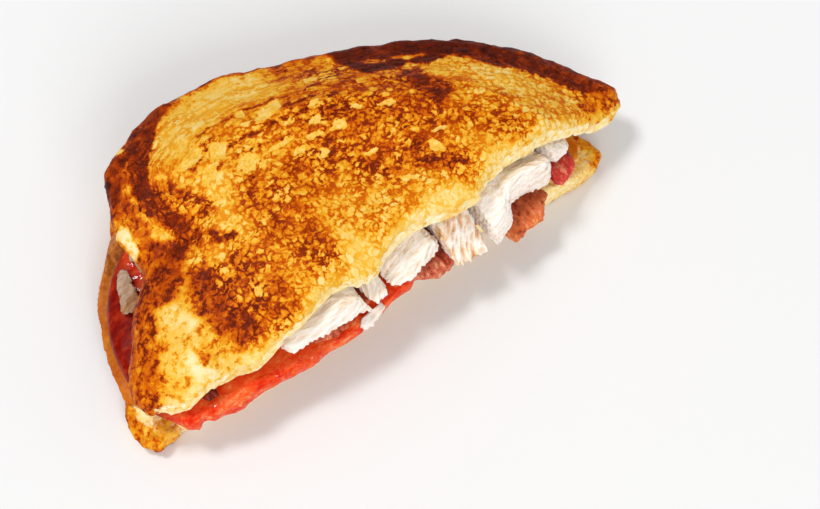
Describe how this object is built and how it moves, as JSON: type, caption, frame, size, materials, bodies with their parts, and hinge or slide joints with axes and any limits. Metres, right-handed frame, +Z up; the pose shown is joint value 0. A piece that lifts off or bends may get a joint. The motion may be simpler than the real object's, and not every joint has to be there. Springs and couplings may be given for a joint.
{
  "type": "grilled chicken sandwich half",
  "caption": "Half of a toasted farmhouse-loaf sandwich, cut on the diagonal, with torn grilled chicken, bacon, tomato and melted cheese showing along the cut.",
  "frame": {"origin": "middle of the footprint, on the face of the lower slice that it rests on", "axes": "+X along the cut, +Y from the cut towards the domed crust, +Z up through the layers"},
  "size_m": [0.157, 0.0824, 0.0384],
  "materials": {
    "toast_upper": "butter-fried bread, golden with brown mottling and a dark crust",
    "toast_lower": "toasted bread, yellow crumb at the cut and a brown crust",
    "cheese": "melted orange cheddar, satin",
    "tomato": "wet orange-red tomato flesh with a dark red skin",
    "bacon": "fried bacon, brown-pink and greasy",
    "chicken": "white cooked breast meat, fibrous, with tan edges"
  },
  "bodies": {
    "root": {"bread_upper": "toast_upper", "bread_lower": "toast_lower", "cheese_slice": "cheese", "tomato_slice": "tomato", "bacon_left": "bacon", "bacon_middle": "bacon", "bacon_right": "bacon", "bacon_point_a": "bacon", "bacon_point_b": "bacon", "chicken_notch": "chicken", "chicken_scraps": "chicken", "chicken_long_slice": "chicken", "chicken_claw": "chicken", "chicken_chunk": "chicken", "chicken_shreds": "chicken", "chicken_torn_slice": "chicken", "chicken_point_b": "chicken", "chicken_flake": "chicken"}
  },
  "joints": []
}
